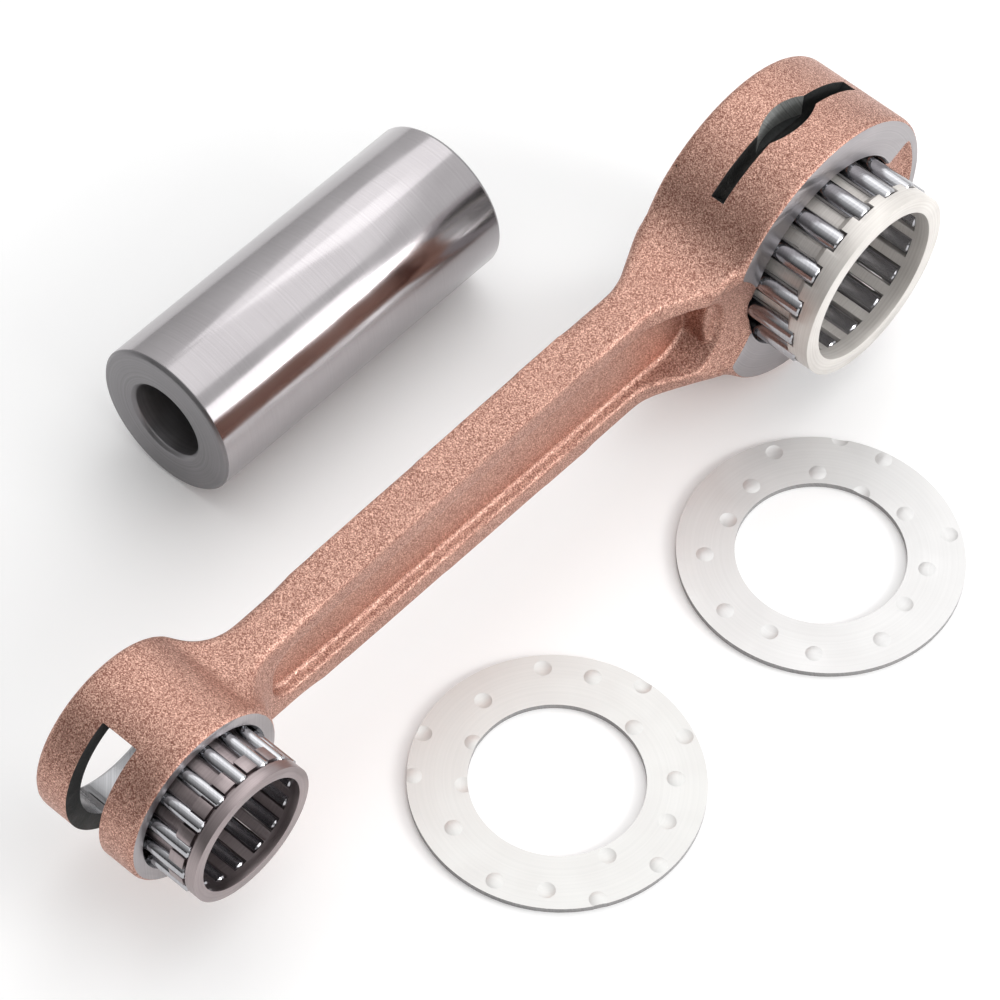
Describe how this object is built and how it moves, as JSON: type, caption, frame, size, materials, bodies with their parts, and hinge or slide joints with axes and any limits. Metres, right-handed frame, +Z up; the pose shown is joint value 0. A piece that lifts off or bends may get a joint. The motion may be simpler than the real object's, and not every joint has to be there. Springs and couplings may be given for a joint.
{
  "type": "connecting rod",
  "caption": "Two-stroke connecting rod with I-section shank and oil slots, caged needle bearings in both ends, hollow crank pin and dimpled thrust washers.",
  "frame": {"origin": "on the big-end bore axis, in the plane of the rod's front thrust face", "axes": "+Y along both bore axes, from the front thrust face into the rod; +X from the small end towards the big end; +Z up, across the shank"},
  "size_m": [0.1474, 0.1002, 0.04],
  "materials": {
    "coppered_forging": "sand-blasted copper plating over forged steel, ground bare on the thrust faces and bores",
    "silvered_cage": "soft silver plating, satin",
    "steel_cage": "hardened steel, satin grey",
    "roller_steel": "hardened and polished",
    "pin_steel": "ground and polished outside, turned matt ends",
    "silvered_washer": "bright silver plating over steel"
  },
  "bodies": {
    "rod": {"rod": "coppered_forging"},
    "big_end_cage": {"big_end_cage": "silvered_cage"},
    "small_end_cage": {"small_end_cage": "steel_cage"},
    "crank_pin": {"crank_pin": "pin_steel"},
    "thrust_washer_1": {"thrust_washer_1": "silvered_washer"},
    "thrust_washer_2": {"thrust_washer_2": "silvered_washer"},
    "big_end_roller_01": {"big_end_roller_01": "roller_steel"},
    "big_end_roller_02": {"big_end_roller_02": "roller_steel"},
    "big_end_roller_03": {"big_end_roller_03": "roller_steel"},
    "big_end_roller_04": {"big_end_roller_04": "roller_steel"},
    "big_end_roller_05": {"big_end_roller_05": "roller_steel"},
    "big_end_roller_06": {"big_end_roller_06": "roller_steel"},
    "big_end_roller_07": {"big_end_roller_07": "roller_steel"},
    "big_end_roller_08": {"big_end_roller_08": "roller_steel"},
    "big_end_roller_09": {"big_end_roller_09": "roller_steel"},
    "big_end_roller_10": {"big_end_roller_10": "roller_steel"},
    "big_end_roller_11": {"big_end_roller_11": "roller_steel"},
    "big_end_roller_12": {"big_end_roller_12": "roller_steel"},
    "big_end_roller_13": {"big_end_roller_13": "roller_steel"},
    "big_end_roller_14": {"big_end_roller_14": "roller_steel"},
    "big_end_roller_15": {"big_end_roller_15": "roller_steel"},
    "big_end_roller_16": {"big_end_roller_16": "roller_steel"},
    "small_end_roller_01": {"small_end_roller_01": "roller_steel"},
    "small_end_roller_02": {"small_end_roller_02": "roller_steel"},
    "small_end_roller_03": {"small_end_roller_03": "roller_steel"},
    "small_end_roller_04": {"small_end_roller_04": "roller_steel"},
    "small_end_roller_05": {"small_end_roller_05": "roller_steel"},
    "small_end_roller_06": {"small_end_roller_06": "roller_steel"},
    "small_end_roller_07": {"small_end_roller_07": "roller_steel"},
    "small_end_roller_08": {"small_end_roller_08": "roller_steel"},
    "small_end_roller_09": {"small_end_roller_09": "roller_steel"},
    "small_end_roller_10": {"small_end_roller_10": "roller_steel"},
    "small_end_roller_11": {"small_end_roller_11": "roller_steel"},
    "small_end_roller_12": {"small_end_roller_12": "roller_steel"},
    "small_end_roller_13": {"small_end_roller_13": "roller_steel"},
    "small_end_roller_14": {"small_end_roller_14": "roller_steel"},
    "small_end_roller_15": {"small_end_roller_15": "roller_steel"},
    "small_end_roller_16": {"small_end_roller_16": "roller_steel"}
  },
  "joints": [
    {"name": "big_end_cage_spin", "type": "hinge", "parent": "rod", "child": "big_end_cage", "pos_m": [0, 0, 0], "axis": [0, 1, 0], "continuous": true},
    {"name": "small_end_cage_spin", "type": "hinge", "parent": "rod", "child": "small_end_cage", "pos_m": [-0.115, 0, 0], "axis": [0, 1, 0], "continuous": true},
    {"name": "crank_pin_spin", "type": "hinge", "parent": "rod", "child": "crank_pin", "pos_m": [-0.04745, 0.0473, -0.009], "axis": [1, 0, 0], "continuous": true},
    {"name": "thrust_washer_1_spin", "type": "hinge", "parent": "rod", "child": "thrust_washer_1", "pos_m": [-0.0256, -0.0232, -0.02], "axis": [0, 0, 1], "continuous": true},
    {"name": "thrust_washer_2_spin", "type": "hinge", "parent": "rod", "child": "thrust_washer_2", "pos_m": [-0.0748, -0.0213, -0.02], "axis": [0, 0, 1], "continuous": true},
    {"name": "big_end_roller_01_spin", "type": "hinge", "parent": "big_end_cage", "child": "big_end_roller_01", "pos_m": [0.01248, 0, 0.00076], "axis": [0, 1, 0], "continuous": true},
    {"name": "big_end_roller_02_spin", "type": "hinge", "parent": "big_end_cage", "child": "big_end_roller_02", "pos_m": [0.01123, 0, 0.00548], "axis": [0, 1, 0], "continuous": true},
    {"name": "big_end_roller_03_spin", "type": "hinge", "parent": "big_end_cage", "child": "big_end_roller_03", "pos_m": [0.00828, 0, 0.00936], "axis": [0, 1, 0], "continuous": true},
    {"name": "big_end_roller_04_spin", "type": "hinge", "parent": "big_end_cage", "child": "big_end_roller_04", "pos_m": [0.00407, 0, 0.01182], "axis": [0, 1, 0], "continuous": true},
    {"name": "big_end_roller_05_spin", "type": "hinge", "parent": "big_end_cage", "child": "big_end_roller_05", "pos_m": [-0.00076, 0, 0.01248], "axis": [0, 1, 0], "continuous": true},
    {"name": "big_end_roller_06_spin", "type": "hinge", "parent": "big_end_cage", "child": "big_end_roller_06", "pos_m": [-0.00548, 0, 0.01123], "axis": [0, 1, 0], "continuous": true},
    {"name": "big_end_roller_07_spin", "type": "hinge", "parent": "big_end_cage", "child": "big_end_roller_07", "pos_m": [-0.00936, 0, 0.00828], "axis": [0, 1, 0], "continuous": true},
    {"name": "big_end_roller_08_spin", "type": "hinge", "parent": "big_end_cage", "child": "big_end_roller_08", "pos_m": [-0.01182, 0, 0.00407], "axis": [0, 1, 0], "continuous": true},
    {"name": "big_end_roller_09_spin", "type": "hinge", "parent": "big_end_cage", "child": "big_end_roller_09", "pos_m": [-0.01248, 0, -0.00076], "axis": [0, 1, 0], "continuous": true},
    {"name": "big_end_roller_10_spin", "type": "hinge", "parent": "big_end_cage", "child": "big_end_roller_10", "pos_m": [-0.01123, 0, -0.00548], "axis": [0, 1, 0], "continuous": true},
    {"name": "big_end_roller_11_spin", "type": "hinge", "parent": "big_end_cage", "child": "big_end_roller_11", "pos_m": [-0.00828, 0, -0.00936], "axis": [0, 1, 0], "continuous": true},
    {"name": "big_end_roller_12_spin", "type": "hinge", "parent": "big_end_cage", "child": "big_end_roller_12", "pos_m": [-0.00407, 0, -0.01182], "axis": [0, 1, 0], "continuous": true},
    {"name": "big_end_roller_13_spin", "type": "hinge", "parent": "big_end_cage", "child": "big_end_roller_13", "pos_m": [0.00076, 0, -0.01248], "axis": [0, 1, 0], "continuous": true},
    {"name": "big_end_roller_14_spin", "type": "hinge", "parent": "big_end_cage", "child": "big_end_roller_14", "pos_m": [0.00548, 0, -0.01123], "axis": [0, 1, 0], "continuous": true},
    {"name": "big_end_roller_15_spin", "type": "hinge", "parent": "big_end_cage", "child": "big_end_roller_15", "pos_m": [0.00936, 0, -0.00828], "axis": [0, 1, 0], "continuous": true},
    {"name": "big_end_roller_16_spin", "type": "hinge", "parent": "big_end_cage", "child": "big_end_roller_16", "pos_m": [0.01182, 0, -0.00407], "axis": [0, 1, 0], "continuous": true},
    {"name": "small_end_roller_01_spin", "type": "hinge", "parent": "small_end_cage", "child": "small_end_roller_01", "pos_m": [-0.10654, 0, 0.00308], "axis": [0, 1, 0], "continuous": true},
    {"name": "small_end_roller_02_spin", "type": "hinge", "parent": "small_end_cage", "child": "small_end_roller_02", "pos_m": [-0.10836, 0, 0.00608], "axis": [0, 1, 0], "continuous": true},
    {"name": "small_end_roller_03_spin", "type": "hinge", "parent": "small_end_cage", "child": "small_end_roller_03", "pos_m": [-0.1112, 0, 0.00816], "axis": [0, 1, 0], "continuous": true},
    {"name": "small_end_roller_04_spin", "type": "hinge", "parent": "small_end_cage", "child": "small_end_roller_04", "pos_m": [-0.11461, 0, 0.00899], "axis": [0, 1, 0], "continuous": true},
    {"name": "small_end_roller_05_spin", "type": "hinge", "parent": "small_end_cage", "child": "small_end_roller_05", "pos_m": [-0.11808, 0, 0.00846], "axis": [0, 1, 0], "continuous": true},
    {"name": "small_end_roller_06_spin", "type": "hinge", "parent": "small_end_cage", "child": "small_end_roller_06", "pos_m": [-0.12108, 0, 0.00664], "axis": [0, 1, 0], "continuous": true},
    {"name": "small_end_roller_07_spin", "type": "hinge", "parent": "small_end_cage", "child": "small_end_roller_07", "pos_m": [-0.12316, 0, 0.0038], "axis": [0, 1, 0], "continuous": true},
    {"name": "small_end_roller_08_spin", "type": "hinge", "parent": "small_end_cage", "child": "small_end_roller_08", "pos_m": [-0.12399, 0, 0.00039], "axis": [0, 1, 0], "continuous": true},
    {"name": "small_end_roller_09_spin", "type": "hinge", "parent": "small_end_cage", "child": "small_end_roller_09", "pos_m": [-0.12346, 0, -0.00308], "axis": [0, 1, 0], "continuous": true},
    {"name": "small_end_roller_10_spin", "type": "hinge", "parent": "small_end_cage", "child": "small_end_roller_10", "pos_m": [-0.12164, 0, -0.00608], "axis": [0, 1, 0], "continuous": true},
    {"name": "small_end_roller_11_spin", "type": "hinge", "parent": "small_end_cage", "child": "small_end_roller_11", "pos_m": [-0.1188, 0, -0.00816], "axis": [0, 1, 0], "continuous": true},
    {"name": "small_end_roller_12_spin", "type": "hinge", "parent": "small_end_cage", "child": "small_end_roller_12", "pos_m": [-0.11539, 0, -0.00899], "axis": [0, 1, 0], "continuous": true},
    {"name": "small_end_roller_13_spin", "type": "hinge", "parent": "small_end_cage", "child": "small_end_roller_13", "pos_m": [-0.11192, 0, -0.00846], "axis": [0, 1, 0], "continuous": true},
    {"name": "small_end_roller_14_spin", "type": "hinge", "parent": "small_end_cage", "child": "small_end_roller_14", "pos_m": [-0.10892, 0, -0.00664], "axis": [0, 1, 0], "continuous": true},
    {"name": "small_end_roller_15_spin", "type": "hinge", "parent": "small_end_cage", "child": "small_end_roller_15", "pos_m": [-0.10684, 0, -0.0038], "axis": [0, 1, 0], "continuous": true},
    {"name": "small_end_roller_16_spin", "type": "hinge", "parent": "small_end_cage", "child": "small_end_roller_16", "pos_m": [-0.10601, 0, -0.00039], "axis": [0, 1, 0], "continuous": true}
  ],
  "couplings": [
    {"joint": "big_end_roller_01_spin", "follows": "big_end_cage_spin", "ratio": -9.396},
    {"joint": "big_end_roller_02_spin", "follows": "big_end_cage_spin", "ratio": -9.396},
    {"joint": "big_end_roller_03_spin", "follows": "big_end_cage_spin", "ratio": -9.396},
    {"joint": "big_end_roller_04_spin", "follows": "big_end_cage_spin", "ratio": -9.396},
    {"joint": "big_end_roller_05_spin", "follows": "big_end_cage_spin", "ratio": -9.396},
    {"joint": "big_end_roller_06_spin", "follows": "big_end_cage_spin", "ratio": -9.396},
    {"joint": "big_end_roller_07_spin", "follows": "big_end_cage_spin", "ratio": -9.396},
    {"joint": "big_end_roller_08_spin", "follows": "big_end_cage_spin", "ratio": -9.396},
    {"joint": "big_end_roller_09_spin", "follows": "big_end_cage_spin", "ratio": -9.396},
    {"joint": "big_end_roller_10_spin", "follows": "big_end_cage_spin", "ratio": -9.396},
    {"joint": "big_end_roller_11_spin", "follows": "big_end_cage_spin", "ratio": -9.396},
    {"joint": "big_end_roller_12_spin", "follows": "big_end_cage_spin", "ratio": -9.396},
    {"joint": "big_end_roller_13_spin", "follows": "big_end_cage_spin", "ratio": -9.396},
    {"joint": "big_end_roller_14_spin", "follows": "big_end_cage_spin", "ratio": -9.396},
    {"joint": "big_end_roller_15_spin", "follows": "big_end_cage_spin", "ratio": -9.396},
    {"joint": "big_end_roller_16_spin", "follows": "big_end_cage_spin", "ratio": -9.396},
    {"joint": "small_end_roller_01_spin", "follows": "small_end_cage_spin", "ratio": -10.101},
    {"joint": "small_end_roller_02_spin", "follows": "small_end_cage_spin", "ratio": -10.101},
    {"joint": "small_end_roller_03_spin", "follows": "small_end_cage_spin", "ratio": -10.101},
    {"joint": "small_end_roller_04_spin", "follows": "small_end_cage_spin", "ratio": -10.101},
    {"joint": "small_end_roller_05_spin", "follows": "small_end_cage_spin", "ratio": -10.101},
    {"joint": "small_end_roller_06_spin", "follows": "small_end_cage_spin", "ratio": -10.101},
    {"joint": "small_end_roller_07_spin", "follows": "small_end_cage_spin", "ratio": -10.101},
    {"joint": "small_end_roller_08_spin", "follows": "small_end_cage_spin", "ratio": -10.101},
    {"joint": "small_end_roller_09_spin", "follows": "small_end_cage_spin", "ratio": -10.101},
    {"joint": "small_end_roller_10_spin", "follows": "small_end_cage_spin", "ratio": -10.101},
    {"joint": "small_end_roller_11_spin", "follows": "small_end_cage_spin", "ratio": -10.101},
    {"joint": "small_end_roller_12_spin", "follows": "small_end_cage_spin", "ratio": -10.101},
    {"joint": "small_end_roller_13_spin", "follows": "small_end_cage_spin", "ratio": -10.101},
    {"joint": "small_end_roller_14_spin", "follows": "small_end_cage_spin", "ratio": -10.101},
    {"joint": "small_end_roller_15_spin", "follows": "small_end_cage_spin", "ratio": -10.101},
    {"joint": "small_end_roller_16_spin", "follows": "small_end_cage_spin", "ratio": -10.101}
  ]
}
